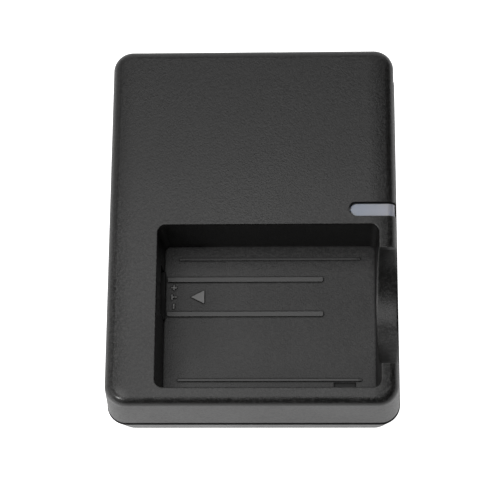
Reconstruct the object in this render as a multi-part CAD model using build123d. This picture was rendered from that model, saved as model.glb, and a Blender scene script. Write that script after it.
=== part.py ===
from build123d import *
import os
from math import radians, sqrt, tan

# Camera battery charger, in millimetres.
# +X is to the right, +Y to the back, +Z up, and the origin is the middle of the base.

# Case: two mouldings that meet at a parting line, where the case is widest
case_width = 67.0
case_length = 87.5
case_height = 26.0
seam_height = 12.0
wall = 2.0
corner_radius = 4.6
least_radius = 0.4
side_draft = 3.7
end_draft = 7.0
base_draft = 6.0
top_edge_radius = 2.05
base_edge_radius = 1.7
seam_gap = 1.3
seam_gap_depth = 0.6
seam_step = 0.2
lip = 1.0
tongue_height = 1.5
moulding_gap = 0.1
label_width = 40.0
label_length = 54.0
label_depth = 0.3
label_corner_radius = 2.0

# Stack of heights between the base and the bay's floor
solder_room = 2.0
board_thickness = 1.6
low_part_room = 2.7
bay_wall = 1.8

# Battery bay, measured at its opening in the top face, and what is left of that face round it
left_rim = 12.1
right_rim = 4.8
front_rim = 5.45
deck_length = 44.45
bay_draft = 1.5
bay_corner_radius = 1.8
bay_edge_radius = 0.3

# Finger scoop through the right rim
scoop_radius = 13.4
scoop_web = 1.0

# Raised details and the slot in the bay's floor
terminal_offset = 12.7
rail_spacing = 8.3
rail_width = 1.15
rail_height = 0.4
rail_length = 36.4
rail_corner_radius = 0.35
rail_start = 1.1
rib_length = 42.5
rib_width = 0.5
rib_height = 0.3
rib_corner_radius = 0.15
back_rib_inset = 3.6
front_rib_inset = 5.05
mark_size = 1.3
mark_line = 0.36
mark_height = 0.25
mark_start = 2.7
arrow_start = 6.6
arrow_length = 3.2
arrow_width = 3.2
floor_slot_length = 5.05
floor_slot_width = 2.6
floor_slot_depth = 0.3
floor_slot_start = 5.2
floor_slot_inset = 1.85

# Charge lamp: a light pipe set in a slot that runs out over the right edge
lamp_width = 3.0
lamp_length = 11.15
lamp_gap = 1.95
lamp_recess = 0.3
lamp_slack = 0.35
pipe_start = 3.65
pipe_radius = 1.3
pipe_flange = 0.8
pipe_flange_thickness = 1.0
pipe_led_gap = 0.3

# Terminal block and its three contacts
block_width = 11.4
block_cover = 8.0
block_setback = 0.7
block_ledge_height = 1.2
block_ledge_proud = 0.3
block_foot_gap = 0.2
block_flange = 1.2
block_flange_thickness = 1.5
contact_pitch = 2.25
contact_thickness = 0.6
contact_slot = 1.0
contact_end_gap = 0.85
contact_tip_inset = 0.3
contact_leg = 0.8

# Circuit board, its screws and the leads that pass through it
board_margin = 1.0
board_corner_radius = 2.0
lead_radius = 0.35
lead_tail = 1.2
lead_bend_radius = 0.7
lead_hole_gap = 0.15
leg_hole_radius = 0.9
tower_radius = 3.25
tower_inset = 6.9
tower_bay_inset = 4.5
screw_radius = 1.1
screw_head_radius = 2.2
screw_head_height = 1.6
screw_head_edge = 0.5
screw_recess_radius = 2.6
screw_web = 1.8
screw_skin = 1.1
screw_tip_gap = 0.3
screw_drive_radius = 0.7
screw_drive_depth = 0.9
sheet_thickness = 0.3
sheet_length = 30.0
sheet_tower_gap = 2.35
sheet_rear_gap = 5.0

# Mains inlet: a figure-8 socket with two pins
inlet_lobe_radius = 4.1
inlet_lobe_spacing = 6.4
inlet_wall = 1.3
inlet_depth = 11.5
inlet_back = 2.4
inlet_setback = 0.75
inlet_flange = 1.2
inlet_flange_thickness = 1.2
inlet_flange_gap = 0.4
inlet_pin_radius = 1.2
inlet_pin_spacing = 8.6
inlet_pin_setback = 1.9
inlet_pin_nose = 0.7
inlet_leg = 1.0

# Parts on the board
fuse_radius = 4.0
fuse_height = 7.5
film_length = 11.0
film_width = 5.0
film_height = 10.0
film_pitch = 7.5
disc_radius = 4.0
disc_thickness = 4.0
disc_standoff = 1.0
disc_edge_radius = 0.9
small_disc_radius = 3.0
small_disc_thickness = 3.0
bulk_radius = 5.0
bulk_height = 14.0
output_can_radius = 4.0
output_can_height = 11.5
can_edge_radius = 0.6
can_groove = 0.4
ring_outer_radius = 5.8
ring_inner_radius = 3.0
ring_height = 4.6
ring_winding = 0.8
ring_winding_angle = 140.0
dip_standoff = 0.4
dip_chamfer = 0.4
bridge_length = 8.3
bridge_width = 6.4
bridge_height = 3.2
bridge_pin_count = 4
switch_length = 9.4
switch_width = 6.4
switch_height = 3.3
switch_pin_count = 8
coupler_length = 4.6
coupler_width = 6.4
coupler_height = 3.4
coupler_pin_count = 4
rectifier_radius = 2.6
rectifier_length = 9.5
rectifier_pitch = 13.0
snubber_radius = 1.3
snubber_length = 5.2
snubber_pitch = 8.0
axial_standoff = 0.3
axial_edge_radius = 0.4
core_width = 16.0
core_thickness = 5.0
core_height = 11.0
core_leg = 2.3
core_middle_leg = 4.2
bobbin_base = 2.0
bobbin_depth = 13.0
bobbin_skin = 0.8
core_gap = 0.1
control_length = 9.9
control_width = 3.9
control_pin_count = 16
transistor_length = 4.9
transistor_width = 3.9
transistor_pin_count = 8
outline_height = 1.75
outline_lead_pitch = 1.27
outline_lead_width = 0.42
outline_lead_reach = 1.05
outline_lead_thickness = 0.2
sense_length = 6.4
sense_width = 3.2
sense_height = 0.6
chip_length = 1.6
chip_width = 0.8
resistor_height = 0.45
resistor_column_count = 4
resistor_row_count = 3
capacitor_height = 0.8
capacitor_column_count = 2
capacitor_row_count = 4
chip_cap_share = 1 / 6
chip_step_share = 0.1
led_length = 3.2
led_width = 2.6
led_base = 1.2
led_dome_radius = 1.0
led_height = 1.9

# Places of the parts on the board: steps from a row behind the bay, from the bay's sides or from its contacts
rear_gap = 1.2
bulk_step = -0.5
switch_step = 3.0
snubber_disc_step = 1.8
snubber_resistor_step = -2.9
transformer_gap = 1.5
thermistor_step = 9.0
y_disc_step = 3.5
coupler_step = 9.5
rectifier_step = 12.5
output_can_step = 5.2
control_inset = 12.4
transistor_inset = 21.7
transistor_step = 2.0
sense_inset = 20.7
sense_step = -9.0
resistor_field_inset = 12.4
resistor_field_step = -10.0
capacitor_field_inset = 10.2
capacitor_field_step = -3.0

# Heights that follow from the stack
board_bottom = wall + solder_room
board_top = board_bottom + board_thickness
bay_floor = board_top + low_part_room + bay_wall
bay_bottom = bay_floor - bay_wall
top_inside = case_height - wall
screw_seat = board_bottom - screw_web
screw_tip = bay_floor - screw_skin - screw_tip_gap

# Edges of the bay's opening and of its floor
bay_left = left_rim - case_width / 2
bay_right = case_width / 2 - right_rim
bay_front = front_rim - case_length / 2
bay_back = case_length / 2 - deck_length
bay_length = bay_right - bay_left
bay_width = bay_back - bay_front
bay_x = (bay_left + bay_right) / 2
bay_y = (bay_front + bay_back) / 2
bay_lean = (case_height - bay_floor) * tan(radians(bay_draft))
floor_left = bay_left + bay_lean
terminal_y = bay_back - terminal_offset
scoop_floor = seam_height + scoop_web
scoop_z = scoop_floor + scoop_radius
contact_ys = [terminal_y + step * contact_pitch for step in (1, 0, -1)]

# Lamp slot
lamp_left = case_width / 2 - lamp_length
lamp_y = bay_back + lamp_gap + lamp_width / 2
pipe_x = lamp_left + pipe_start

# Terminal block: the face in the bay, the outside of the bay's wall and the flange behind it
block_face = bay_left - block_setback
ledge_face = floor_left + block_ledge_proud
block_wall = bay_left - bay_wall
block_back = block_wall - block_flange_thickness
block_foot = bay_floor + block_foot_gap
block_top = case_height - block_cover
ledge_top = block_foot + block_ledge_height
contact_heights = (ledge_top + contact_end_gap, block_top - contact_end_gap)

# Inlet socket: it stands on the board and looks out of the rear wall
inlet_width = inlet_lobe_spacing + 2 * inlet_lobe_radius + 2 * inlet_wall
inlet_flange_width = inlet_width + 2 * inlet_flange
inlet_height = 2 * inlet_lobe_radius + 2 * inlet_wall
inlet_z = board_top + inlet_height / 2


def half_size(z):
    """Half the outer width and half the outer length of the case at a height."""
    above = max(z - seam_height, 0)
    below = max(seam_height - z, 0) * tan(radians(base_draft))
    side = above * tan(radians(side_draft)) + below
    end = above * tan(radians(end_draft)) + below
    return case_width / 2 - side, case_length / 2 - end


def spread(low, high, *widths):
    """Middles of parts that stand side by side between two ends, with even gaps."""
    gap = (high - low - sum(widths)) / (len(widths) + 1)
    middles = []
    for width in widths:
        middles.append(low + gap + width / 2)
        low += gap + width
    return middles


# Places of the screws: three by the corners and one under the bay
tower_x = case_width / 2 - tower_inset
tower_y = case_length / 2 - tower_inset
tower_room = tower_x - tower_radius
bay_tower = (bay_right - tower_bay_inset, bay_front + tower_bay_inset)
towers = [(-tower_x, tower_y), (tower_x, tower_y), (-tower_x, -tower_y), bay_tower]

# Rows of parts behind the bay: the rear one between the screws, the others between the side walls
row_front = bay_back + bay_wall
row_rear = half_size(board_top)[1] - wall
row_middle = (row_front + row_rear) / 2
side_room = half_size(board_top)[0] - wall
inlet_face = half_size(inlet_z)[1] - inlet_setback
inlet_end = inlet_face - inlet_depth - inlet_back
film_y = row_rear - rear_gap - film_width / 2
rectifier_y = row_front + rectifier_step
ring_y = (rectifier_y + rectifier_radius + film_y - film_width / 2) / 2
transformer_y = row_front + transformer_gap + bobbin_depth / 2
snubber_y = (transformer_y + bobbin_depth / 2 + inlet_end) / 2
inlet_x, fuse_x, film_x = spread(-tower_room, tower_room, inlet_flange_width, 2 * fuse_radius, film_length)
bulk_x, snubber_diode_x, bridge_x, snubber_x, ring_x, switch_x = spread(
    -side_room,
    side_room,
    2 * bulk_radius,
    2 * snubber_radius,
    bridge_length,
    2 * small_disc_radius,
    2 * (ring_outer_radius + ring_winding),
    switch_width,
)
disc_x, transformer_x, rectifier_x, coupler_x = spread(
    -side_room, side_room, 2 * disc_radius, core_width, rectifier_pitch + 2 * lead_radius, coupler_width
)

# Places of the leads that pass through the board, filled in as the parts are made
lead_spots = []
leg_spots = []


def block(x, y, z):
    """A box between two values on each axis."""
    size = [high - low for low, high in (x, y, z)]
    return Pos(x[0], y[0], z[0]) * Box(*size, align=(Align.MIN, Align.MIN, Align.MIN))


def rod(x, y, low, high, radius):
    """An upright cylinder."""
    return Pos(x, y, low) * Cylinder(radius, high - low, align=(Align.CENTER, Align.CENTER, Align.MIN))


def lying_rod(x, z, front, back, radius):
    """A cylinder along Y."""
    return Pos(x, (front + back) / 2, z) * Rot(90, 0, 0) * Cylinder(radius, back - front)


def outline(z, inset=0.0):
    """The case's rounded outline at a height, moved inwards."""
    x, y = half_size(z)
    radius = max(corner_radius - inset, least_radius)
    return Pos(0, 0, z) * RectangleRounded(2 * (x - inset), 2 * (y - inset), radius)


def skin(low, high, inset=0.0):
    """The solid inside the case's outer skin between two heights, moved inwards."""
    return loft([outline(low, inset), outline(high, inset)], ruled=True)


def rim_ring(outer_inset, inner_inset, height):
    """A ring that follows the parting line, left open where the scoop comes down to it."""
    ring = extrude(outline(seam_height, outer_inset) - outline(seam_height, inner_inset), height)
    web = scoop_radius + scoop_web
    half = sqrt(max(web**2 - (scoop_z - seam_height - 2 * tongue_height) ** 2, 0.0))
    gap = block((0, case_width), (bay_y - half, bay_y + half), (0, case_height))
    return ring - gap


def inlet_opening():
    """The opening in the rear wall round the inlet socket."""
    half = inlet_width / 2 + moulding_gap
    low, high = board_top - moulding_gap, board_top + inlet_height + moulding_gap
    return block((inlet_x - half, inlet_x + half), (row_rear - wall, case_length), (low, high))


def bay_cut():
    """The battery bay, from its floor to above the top face."""
    above = case_height + wall
    sections = []
    for z in (bay_floor, above):
        lean = (case_height - z) * tan(radians(bay_draft))
        radius = max(bay_corner_radius - lean, least_radius)
        section = RectangleRounded(bay_length - 2 * lean, bay_width - 2 * lean, radius)
        sections.append(Pos(bay_x, bay_y, z) * section)
    return loft(sections, ruled=True)


def bay_tub(low, high):
    """The block that the bay's walls and floor are left from."""
    plan = RectangleRounded(bay_length + 2 * bay_wall, bay_width + 2 * bay_wall, bay_corner_radius + bay_wall)
    return extrude(Pos(bay_x, bay_y, low) * plan, high - low)


def scoop_rod(radius, left):
    """A cylinder along X through the right rim."""
    length = case_width / 2 + wall - left
    return Pos(left + length / 2, bay_y, scoop_z) * Rot(0, 90, 0) * Cylinder(radius, length)


def lamp_slot(grow, low, high):
    """The lamp's slot, round at its left end, grown all round."""
    half = lamp_width / 2 + grow
    start = lamp_left + lamp_width / 2
    straight = block((start, case_width / 2 + wall), (lamp_y - half, lamp_y + half), (low, high))
    return straight + rod(start, lamp_y, low, high, half)


def floor_details():
    """Rails, ribs, polarity marks and arrow, raised on the bay's floor."""
    def raised(x, y, height):
        return block(x, y, (bay_floor - bay_wall / 2, bay_floor + height))

    def bar(x, y, length, width, radius, height):
        plan = Pos(x, y, bay_floor - bay_wall / 2) * RectangleRounded(length, width, radius)
        return extrude(plan, bay_wall / 2 + height)

    parts = []
    for side in (-1, 1):
        x, y = bay_left + rail_start + rail_length / 2, terminal_y + side * rail_spacing / 2
        parts.append(bar(x, y, rail_length, rail_width, rail_corner_radius, rail_height))
    for y in (bay_back - back_rib_inset, bay_front + front_rib_inset):
        parts.append(bar(bay_x, y, rib_length, rib_width, rib_corner_radius, rib_height))
    x, long, thin = bay_left + mark_start, mark_size / 2, mark_line / 2
    plus_y, sense_y, minus_y = contact_ys
    parts.append(raised((x - thin, x + thin), (plus_y - long, plus_y + long), mark_height))
    parts.append(raised((x - long, x + long), (plus_y - thin, plus_y + thin), mark_height))
    parts.append(raised((x - long, x - long + mark_line), (sense_y - long, sense_y + long), mark_height))
    parts.append(raised((x - long, x + long), (sense_y - thin, sense_y + thin), mark_height))
    parts.append(raised((x - thin, x + thin), (minus_y - long, minus_y + long), mark_height))
    tip = bay_left + arrow_start
    base = tip + arrow_length
    corners = [(tip, terminal_y), (base, terminal_y - arrow_width / 2), (base, terminal_y + arrow_width / 2)]
    triangle = Pos(0, 0, bay_floor - bay_wall / 2) * make_face(Polyline(*corners, close=True))
    parts.append(extrude(triangle, bay_wall / 2 + mark_height))
    return parts


def floor_slot():
    """The shallow slot in the bay's floor beside its front wall."""
    right = bay_right - floor_slot_start
    front = bay_front + floor_slot_inset
    heights = (bay_floor - floor_slot_depth, bay_floor + rib_height)
    return block((right - floor_slot_length, right), (front, front + floor_slot_width), heights)


def upper_case():
    """Top moulding with the bay, the scoop, the lamp slot and the screw bosses."""
    outside = loft([outline(seam_height, seam_step), outline(case_height)], ruled=True)
    outside = fillet(outside.faces().sort_by(Axis.Z)[-1].edges(), top_edge_radius)
    case = outside - skin(seam_height, top_inside, wall)
    case -= rim_ring(lip, wall + moulding_gap, tongue_height + moulding_gap)
    case += bay_tub(seam_height, top_inside + wall / 2) & outside
    case += bay_tub(bay_bottom, seam_height)
    case += scoop_rod(scoop_radius + bay_wall, bay_right) & outside
    for x, y in towers[:3]:
        case += rod(x, y, board_top, top_inside + wall / 2, tower_radius)
    case += rod(*bay_tower, board_top, bay_bottom + bay_wall / 2, tower_radius)
    case -= bay_cut()
    rim_edges = case.faces().sort_by(Axis.Z)[-1].inner_wires()[0].edges()
    case = fillet(rim_edges, bay_edge_radius)
    case -= scoop_rod(scoop_radius, bay_right - bay_wall)
    slot = lamp_slot(0, top_inside, case_height + wall)
    case -= slot + Pos(-lamp_slack, lamp_slack, 0) * slot
    case -= floor_slot()
    case += floor_details()
    window_y = (terminal_y - block_width / 2 - moulding_gap, terminal_y + block_width / 2 + moulding_gap)
    case -= block((block_wall - wall, ledge_face), window_y, (block_foot, block_top + moulding_gap))
    case -= inlet_opening()
    for x, y in towers:
        case -= rod(x, y, board_top, screw_tip + screw_tip_gap, screw_radius)
    return case


def lower_case():
    """Bottom moulding: a tray with a shadow gap and a tongue round its rim, and towers for the screws."""
    lowered = Pos(0, 0, -seam_gap)
    outside = loft([outline(0), lowered * outline(seam_height)], ruled=True)
    outside = fillet(outside.faces().sort_by(Axis.Z)[0].edges(), base_edge_radius)
    outside += extrude(lowered * outline(seam_height, seam_gap_depth), seam_gap)
    case = outside - skin(wall, seam_height, wall)
    case += rim_ring(lip + moulding_gap, wall, tongue_height)
    for x, y in towers:
        case += rod(x, y, wall / 2, board_bottom, tower_radius)
    for x, y in towers:
        case -= rod(x, y, 0, screw_seat, screw_recess_radius)
        case -= rod(x, y, 0, board_bottom, screw_radius + moulding_gap)
    panel = RectangleRounded(label_width, label_length, label_corner_radius)
    case -= extrude(panel, label_depth)
    return case - inlet_opening()


def case_screws():
    """Four self-tapping screws with pan heads and a square drive."""
    screws = []
    for x, y in towers:
        low = screw_seat - screw_head_height
        head = rod(x, y, low, screw_seat, screw_head_radius)
        head = fillet(head.edges().sort_by(Axis.Z)[0], screw_head_edge)
        drive = screw_drive_radius
        head -= block((x - drive, x + drive), (y - drive, y + drive), (low, low + screw_drive_depth))
        screws.append(head + rod(x, y, screw_seat, screw_tip, screw_radius))
    return screws


def lamp_window():
    """Light pipe: a window that follows the case's edge, a flange under the top and a stem to the lamp."""
    inner = skin(seam_height, case_height - lamp_recess, lamp_recess)
    rounding = top_edge_radius - lamp_recess
    inner = fillet(inner.faces().sort_by(Axis.Z)[-1].edges(), rounding)
    window = lamp_slot(-moulding_gap / 2, top_inside, case_height) & inner
    flange = lamp_slot(pipe_flange, top_inside - pipe_flange_thickness, top_inside)
    room = half_size(case_height)[0] - wall - moulding_gap
    flange &= block((0, room), (row_front + moulding_gap, case_length), (0, case_height))
    stem_low = board_top + led_height + pipe_led_gap
    stem_high = top_inside - pipe_flange_thickness / 2
    return window + flange + rod(pipe_x, lamp_y, stem_low, stem_high, pipe_radius)


def terminal_block():
    """Insulator set back in a window of the bay's left wall, with a ledge, a flange and three slots."""
    along = (terminal_y - block_width / 2, terminal_y + block_width / 2)
    grown = block_width / 2 + block_flange
    body = block((block_wall, block_face), along, (block_foot, block_top))
    body += block((block_wall, ledge_face), along, (block_foot, ledge_top))
    foot, top = block_foot - block_flange, block_top + block_flange
    body += block((block_back, block_wall), (terminal_y - grown, terminal_y + grown), (foot, top))
    for y in contact_ys:
        body -= block((block_back, block_face), (y - contact_slot / 2, y + contact_slot / 2), contact_heights)
    return body


def contact(y):
    """A flat contact blade that stands in its slot and runs down to the board."""
    sides = (y - contact_thickness / 2, y + contact_thickness / 2)
    leg = (block_back - contact_leg, block_back)
    leg_spots.append((sum(leg) / 2, y))
    blade = block((leg[0], bay_left - contact_tip_inset), sides, contact_heights)
    return blade + block(leg, sides, (board_bottom - lead_tail, contact_heights[1]))


def inlet_socket():
    """Figure-8 socket, open to the rear."""
    half = inlet_width / 2
    heights = (board_top, board_top + inlet_height)
    body = block((inlet_x - half, inlet_x + half), (inlet_end, inlet_face), heights)
    flange_y = row_rear - inlet_flange_gap
    grown = inlet_flange_width / 2
    body += block(
        (inlet_x - grown, inlet_x + grown),
        (flange_y - inlet_flange_thickness, flange_y),
        heights,
    )
    for side in (-1, 1):
        lobe_x = inlet_x + side * inlet_lobe_spacing / 2
        body -= lying_rod(lobe_x, inlet_z, inlet_face - inlet_depth, inlet_face, inlet_lobe_radius)
        pin_x = inlet_x + side * inlet_pin_spacing / 2
        body -= lying_rod(pin_x, inlet_z, inlet_end, inlet_end + inlet_back, inlet_pin_radius)
    return body


def inlet_pin(side):
    """Round-nosed inlet pin with a flat leg down through the board."""
    x = inlet_x + side * inlet_pin_spacing / 2
    nose = inlet_face - inlet_pin_setback
    leg_spots.append((x, inlet_end - inlet_leg / 2))
    pin = lying_rod(x, inlet_z, inlet_end, nose, inlet_pin_radius)
    pin = fillet(pin.edges().sort_by(Axis.Y)[-1], inlet_pin_nose)
    sides = (x - inlet_leg / 2, x + inlet_leg / 2)
    heights = (board_bottom - lead_tail, inlet_z + inlet_pin_radius)
    return pin + block(sides, (inlet_end - inlet_leg, inlet_end), heights)


def main_board():
    """Circuit board with holes for the screws and for every lead."""
    half_x, half_y = half_size(board_bottom)
    room = wall + board_margin
    plate = RectangleRounded(2 * (half_x - room), 2 * (half_y - room), board_corner_radius)
    board = extrude(Pos(0, 0, board_bottom) * plate, board_thickness)
    holes = [(spot, screw_radius + moulding_gap) for spot in towers]
    holes += [(spot, lead_radius + lead_hole_gap) for spot in lead_spots]
    holes += [(spot, leg_hole_radius) for spot in leg_spots]
    return board - [rod(x, y, board_bottom, board_top, radius) for (x, y), radius in holes]


def insulation_sheet():
    """Barrier sheet on the floor of the lower case, under the mains half of the board."""
    half = tower_room - sheet_tower_gap
    back = row_rear - sheet_rear_gap
    return block((-half, half), (back - sheet_length, back), (wall, wall + sheet_thickness))


def leads(spots, top):
    """Straight leads from a part's body down through the board."""
    lead_spots.extend(spots)
    return [rod(x, y, board_bottom - lead_tail, top, lead_radius) for x, y in spots]


def pair(x, y, pitch, along_y=False):
    """Two places, a pitch apart."""
    if along_y:
        return [(x, y - pitch / 2), (x, y + pitch / 2)]
    return [(x - pitch / 2, y), (x + pitch / 2, y)]


def can(x, y, radius, height):
    """Electrolytic capacitor: a rounded can with a groove above its seal."""
    body = rod(x, y, board_top, board_top + height, radius)
    body = fillet(body.edges(), can_edge_radius)
    groove_low = board_top + 3 * can_edge_radius
    groove = rod(x, y, groove_low, groove_low + can_edge_radius, radius)
    body -= groove - rod(x, y, groove_low, groove_low + can_edge_radius, radius - can_groove)
    return body + leads(pair(x, y, radius), board_top + can_edge_radius)


def disc(x, y, radius, thickness):
    """Coated disc that stands on two leads."""
    middle = board_top + disc_standoff + radius
    body = Pos(x, y, middle) * Rot(90, 0, 0) * Cylinder(radius, thickness)
    body = fillet(body.edges(), disc_edge_radius)
    return body + leads(pair(x, y, radius), middle)


def axial(x, y, radius, length, pitch, along_y=False):
    """Part that lies on the board between two bent leads."""
    z = board_top + axial_standoff + radius
    lie = Rot(90, 0, 0) if along_y else Rot(0, 90, 0)
    body = fillet((Pos(x, y, z) * lie * Cylinder(radius, length)).edges(), axial_edge_radius)
    spots = pair(x, y, pitch, along_y)
    lead_spots.extend(spots)
    low = board_bottom - lead_tail
    start, end = spots
    path = FilletPolyline((*start, low), (*start, z), (*end, z), (*end, low), radius=lead_bend_radius)
    return body + sweep(Plane(path @ 0, z_dir=path % 0) * Circle(lead_radius), path=path)


def dual_in_line(x, y, length, width, height, count):
    """Moulded part along Y with a row of leads on each side."""
    low = board_top + dip_standoff
    body = block((x - width / 2, x + width / 2), (y - length / 2, y + length / 2), (low, low + height))
    body = chamfer(body.faces().sort_by(Axis.Z)[-1].edges(), dip_chamfer)
    row = count // 2
    pitch = length / row
    ys = [y + (step - (row - 1) / 2) * pitch for step in range(row)]
    inside = width / 2 - 2 * lead_radius
    spots = [(x + side * inside, place) for side in (-1, 1) for place in ys]
    return body + leads(spots, low + height / 2)


def small_outline(x, y, length, width, count):
    """Flat moulded part along X with bent leads that stand on the board."""
    low = board_top + outline_lead_thickness
    top = board_top + outline_height
    body = block((x - length / 2, x + length / 2), (y - width / 2, y + width / 2), (low, top))
    row = count // 2
    middle = (low + top) / 2
    thick = outline_lead_thickness
    for step in range(row):
        place = x + (step - (row - 1) / 2) * outline_lead_pitch
        across = (place - outline_lead_width / 2, place + outline_lead_width / 2)
        for side in (-1, 1):
            root, toe = y + side * width / 2, y + side * (width / 2 + outline_lead_reach)
            knee = y + side * (width / 2 + outline_lead_reach / 2)
            body += block(across, tuple(sorted((root, knee))), (middle, middle + thick))
            body += block(across, tuple(sorted((knee, knee - side * thick))), (board_top, middle + thick))
            body += block(across, tuple(sorted((knee - side * thick, toe))), (board_top, board_top + thick))
    return body


def chip(x, y, length, width, height):
    """Ceramic chip with a raised cap on each end."""
    cap = length * chip_cap_share
    step = height * chip_step_share
    top = board_top + height
    body = block((x - length / 2, x + length / 2), (y - width / 2, y + width / 2), (board_top, top))
    waist = (x - length / 2 + cap, x + length / 2 - cap)
    return body - block(waist, (y - width, y + width), (top - step, top))


def chip_field(x, y, columns, rows, height):
    """Chips in an even field."""
    pitch_x, pitch_y = 2 * chip_length, 3 * chip_width
    field = []
    for column in range(columns):
        for row in range(rows):
            place_x = x + (column - (columns - 1) / 2) * pitch_x
            place_y = y + (row - (rows - 1) / 2) * pitch_y
            field.append(chip(place_x, place_y, chip_length, chip_width, height))
    return field


def choke_core():
    """Ferrite ring that lies flat."""
    x, y = ring_x, ring_y
    low = board_top + ring_winding
    high = low + ring_height
    return rod(x, y, low, high, ring_outer_radius) - rod(x, y, low, high, ring_inner_radius)


def choke_windings():
    """Two windings, each wrapped round its own side of the ring."""
    x, y = ring_x, ring_y
    top = board_top + ring_height + 2 * ring_winding
    outer, inner = ring_outer_radius + ring_winding, ring_inner_radius - ring_winding
    coat = rod(x, y, board_top, top, outer) - rod(x, y, board_top, top, inner) - choke_core()
    windings = []
    for turn in (0, 180):
        align = (Align.NONE, Align.NONE, Align.CENTER)
        wedge = Cylinder(2 * outer, ring_height + 4 * ring_winding, arc_size=ring_winding_angle, align=align)
        side = coat & Pos(x, y, (board_top + top) / 2) * Rot(0, 0, turn - ring_winding_angle / 2) * wedge
        direction = 1 if turn == 0 else -1
        spots = pair(x + direction * ring_outer_radius / 2, y, ring_outer_radius, along_y=True)
        windings.append(side + leads(spots, board_top + ring_winding / 2))
    return windings


def transformer_core():
    """Two E-shaped ferrite halves, glued together, with the winding's leg upright in the middle."""
    x, y = transformer_x, transformer_y
    low = board_top + bobbin_base
    across = (y - core_thickness / 2, y + core_thickness / 2)
    core = block((x - core_width / 2, x + core_width / 2), across, (low, low + core_height))
    for side in (-1, 1):
        near, far = side * core_middle_leg / 2, side * (core_width / 2 - core_leg)
        window = (x + min(near, far), x + max(near, far))
        core -= block(window, across, (low + core_leg, low + core_height - core_leg))
    return core


def bobbin_sleeve(grow, low, high):
    """A rectangular sleeve round the core's middle leg, grown outwards."""
    x, y = transformer_x, transformer_y
    half_x = core_middle_leg / 2 + grow
    half_y = core_thickness / 2 + grow
    return block((x - half_x, x + half_x), (y - half_y, y + half_y), (low, high))


def transformer_bobbin():
    """Bobbin: a pin base under the core and a sleeve on the middle leg, with a flange at each end."""
    x, y = transformer_x, transformer_y
    low = board_top + bobbin_base + core_leg + core_gap
    high = board_top + bobbin_base + core_height - core_leg - core_gap
    half_x = core_width / 2 - core_leg - core_gap
    half_y = bobbin_depth / 2
    base_x = (x - core_width / 2, x + core_width / 2)
    bobbin = block(base_x, (y - half_y, y + half_y), (board_top, board_top + bobbin_base))
    for z in (low, high - bobbin_skin):
        bobbin += block((x - half_x, x + half_x), (y - half_y, y + half_y), (z, z + bobbin_skin))
    bobbin += bobbin_sleeve(core_gap + bobbin_skin, low, high)
    bobbin -= bobbin_sleeve(core_gap, low, high)
    clear = core_thickness / 2 + core_gap
    for near, far in ((-half_y, -clear), (clear, half_y)):
        bobbin += block((x - half_x, x + half_x), (y + near, y + far), (board_top, low + bobbin_skin / 2))
    inset = 2 * lead_radius
    spots = []
    for side in (-1, 1):
        spots += [(x + step * core_width / 5, y + side * (half_y - inset)) for step in (-1.5, -0.5, 0.5, 1.5)]
    return bobbin + leads(spots, board_top + bobbin_base / 2)


def transformer_winding():
    """Taped winding between the bobbin's flanges."""
    low = board_top + bobbin_base + core_leg + core_gap + bobbin_skin
    high = board_top + bobbin_base + core_height - core_leg - core_gap - bobbin_skin
    room = (core_width - core_middle_leg) / 2 - core_leg - 3 * core_gap
    winding = bobbin_sleeve(room, low, high)
    winding = fillet(winding.edges().filter_by(Axis.Z), bobbin_skin)
    return winding - bobbin_sleeve(core_gap + bobbin_skin, low, high)


def mains_fuse():
    """Round fuse that stands on two leads."""
    x, y = fuse_x, row_rear - fuse_radius - rear_gap
    body = fillet(rod(x, y, board_top, board_top + fuse_height, fuse_radius).edges(), can_edge_radius)
    return body + leads(pair(x, y, fuse_radius), board_top + can_edge_radius)


def x_capacitor():
    """Boxed film capacitor across the mains."""
    x, y = film_x, film_y
    across = (x - film_length / 2, x + film_length / 2)
    body = block(across, (y - film_width / 2, y + film_width / 2), (board_top, board_top + film_height))
    body = fillet(body.edges().filter_by(Axis.Z) + body.faces().sort_by(Axis.Z)[-1].edges(), can_edge_radius)
    return body + leads(pair(x, y, film_pitch), board_top + can_edge_radius)


def status_led():
    """Lamp on the board, under the light pipe."""
    across = (pipe_x - led_length / 2, pipe_x + led_length / 2)
    body = block(across, (lamp_y - led_width / 2, lamp_y + led_width / 2), (board_top, board_top + led_base))
    return body + rod(pipe_x, lamp_y, board_top, board_top + led_height, led_dome_radius)


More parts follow.
